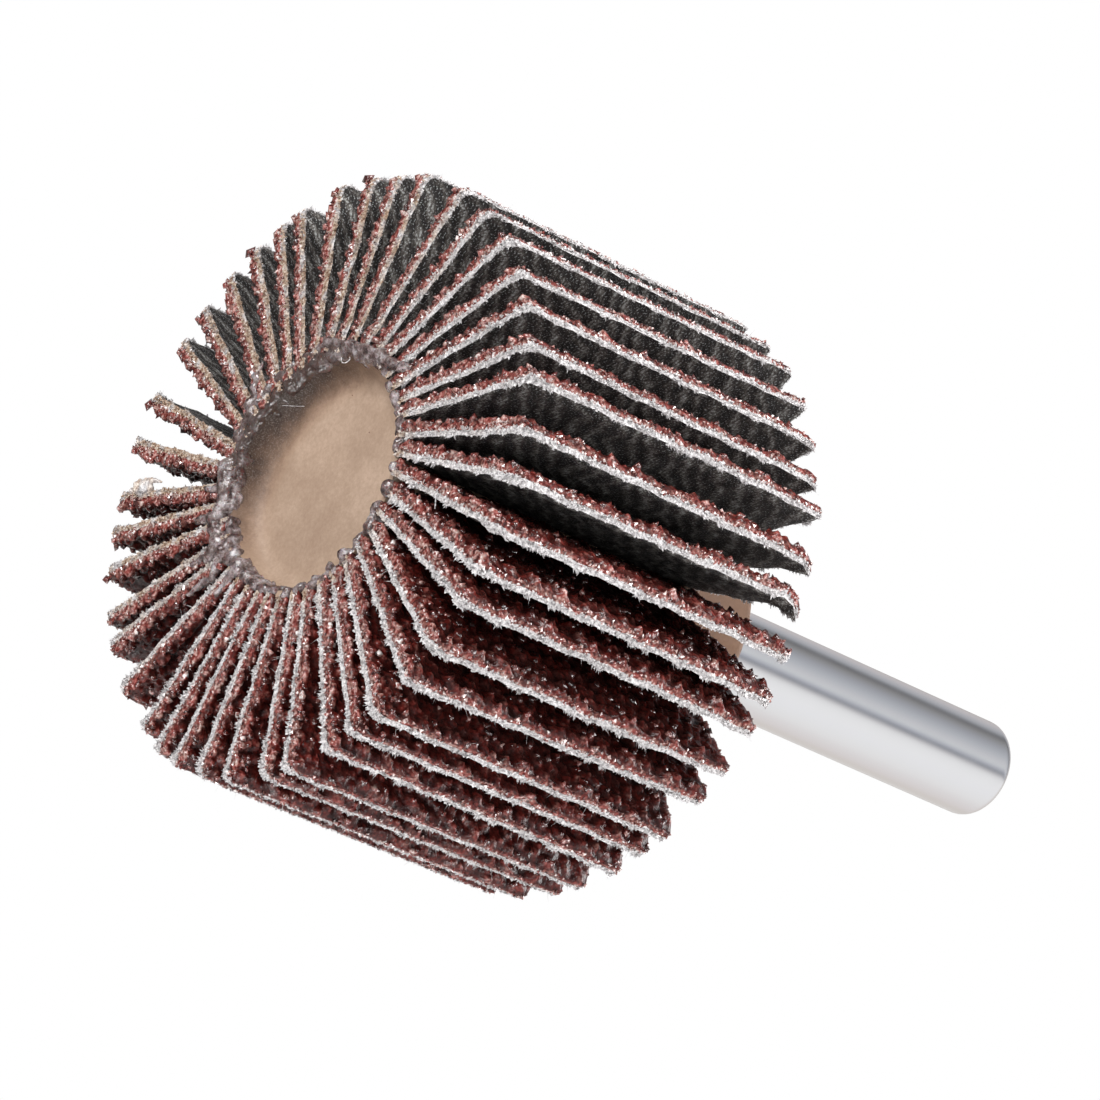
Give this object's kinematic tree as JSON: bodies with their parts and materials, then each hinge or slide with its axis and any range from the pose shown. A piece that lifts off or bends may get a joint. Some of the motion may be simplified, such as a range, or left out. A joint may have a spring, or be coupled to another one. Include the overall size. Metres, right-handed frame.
{
  "type": "flap wheel",
  "caption": "Small sanding flap wheel: rectangles of coated abrasive cloth glued on edge round a resin core, on a straight round steel shank.",
  "frame": {"origin": "on the wheel's axis, in the plane of the flaps' front edges, on which the wheel stands", "axes": "+Z along the axis from the front of the wheel to the free end of the shank; +X and +Y across it, +X close to the root of flap_01"},
  "size_m": [0.038, 0.0381, 0.0575],
  "materials": {
    "ground_steel": "polished",
    "cast_resin": "matte",
    "glue": "gloss",
    "abrasive_cloth": "matte"
  },
  "bodies": {
    "root": {"shank": "ground_steel", "core": "cast_resin", "glue_bead": "glue", "flap_01": "abrasive_cloth", "flap_02": "abrasive_cloth", "flap_03": "abrasive_cloth", "flap_04": "abrasive_cloth", "flap_05": "abrasive_cloth", "flap_06": "abrasive_cloth", "flap_07": "abrasive_cloth", "flap_08": "abrasive_cloth", "flap_09": "abrasive_cloth", "flap_10": "abrasive_cloth", "flap_11": "abrasive_cloth", "flap_12": "abrasive_cloth", "flap_13": "abrasive_cloth", "flap_14": "abrasive_cloth", "flap_15": "abrasive_cloth", "flap_16": "abrasive_cloth", "flap_17": "abrasive_cloth", "flap_18": "abrasive_cloth", "flap_19": "abrasive_cloth", "flap_20": "abrasive_cloth", "flap_21": "abrasive_cloth", "flap_22": "abrasive_cloth", "flap_23": "abrasive_cloth", "flap_24": "abrasive_cloth", "flap_25": "abrasive_cloth", "flap_26": "abrasive_cloth", "flap_27": "abrasive_cloth", "flap_28": "abrasive_cloth", "flap_29": "abrasive_cloth", "flap_30": "abrasive_cloth", "flap_31": "abrasive_cloth", "flap_32": "abrasive_cloth", "flap_33": "abrasive_cloth", "flap_34": "abrasive_cloth", "flap_35": "abrasive_cloth", "flap_36": "abrasive_cloth", "flap_37": "abrasive_cloth", "flap_38": "abrasive_cloth", "flap_39": "abrasive_cloth", "flap_40": "abrasive_cloth", "flap_41": "abrasive_cloth", "flap_42": "abrasive_cloth"}
  },
  "joints": []
}
